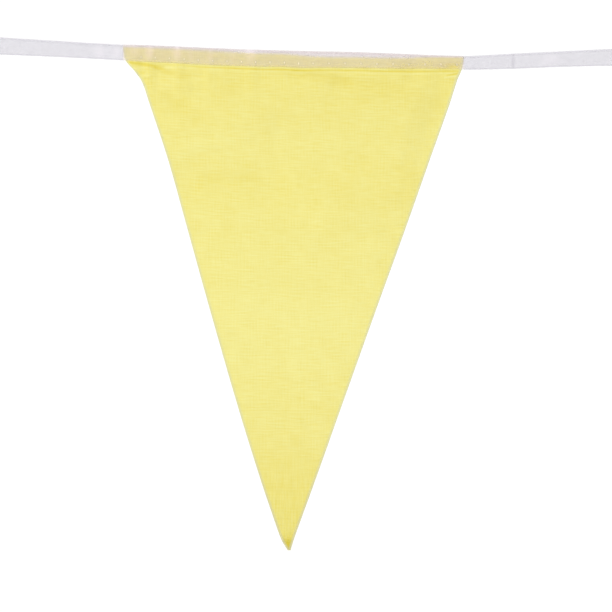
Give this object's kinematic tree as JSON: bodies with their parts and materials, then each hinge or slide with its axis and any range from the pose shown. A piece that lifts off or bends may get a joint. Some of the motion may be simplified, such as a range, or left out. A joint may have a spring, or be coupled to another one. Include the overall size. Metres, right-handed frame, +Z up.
{
  "type": "fabric bunting pennant on its tape",
  "caption": "Triangular cotton bunting pennant hanging from a sheer ribbon tape that is folded and sewn over its top edge.",
  "frame": {"origin": "on the tape's top fold, above the middle of the hanging length", "axes": "+Z up, +X to the right along the tape as seen from the front, the front faces -Y"},
  "size_m": [0.39, 0.0072, 0.3085],
  "materials": {
    "pennant_cotton": "matt",
    "tape_ribbon": "sheer, slightly silky"
  },
  "bodies": {
    "root": {"pennant": "pennant_cotton", "tape": "tape_ribbon"}
  },
  "joints": []
}
